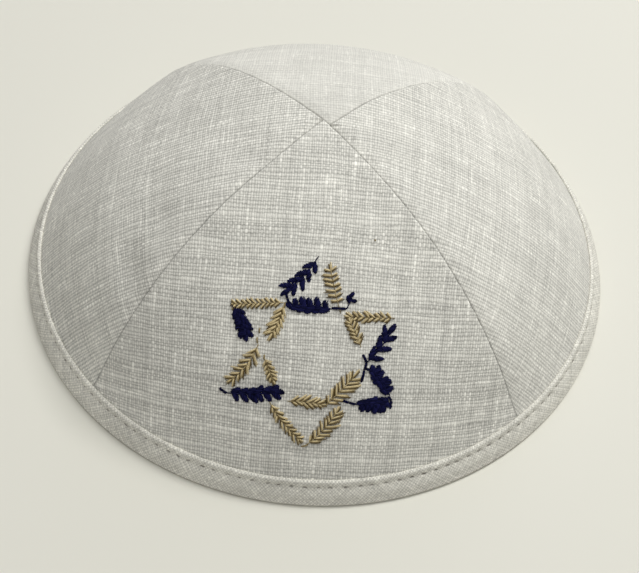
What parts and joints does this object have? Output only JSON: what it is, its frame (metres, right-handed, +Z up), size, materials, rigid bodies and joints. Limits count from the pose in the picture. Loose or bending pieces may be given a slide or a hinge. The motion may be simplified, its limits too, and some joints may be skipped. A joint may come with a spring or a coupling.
{
  "type": "kippah skullcap",
  "caption": "Round four-panel linen skullcap with a folded bias binding round its open rim, resting open side down.",
  "frame": {"origin": "centre of the rim, on the surface that the cap rests on", "axes": "+Z up through the crown, -Y towards the front panel, +X towards the right panel as seen from the front"},
  "size_m": [0.1726, 0.1726, 0.0565],
  "materials": {
    "linen": "plain-weave undyed linen, matte with a faint sheen",
    "binding_linen": "the same linen cut on the bias",
    "navy_thread": "lustrous embroidery thread",
    "gold_thread": "lustrous embroidery thread"
  },
  "bodies": {
    "root": {"panel_front": "linen", "panel_right": "linen", "panel_back": "linen", "panel_left": "linen", "rim_binding": "binding_linen"}
  },
  "joints": []
}
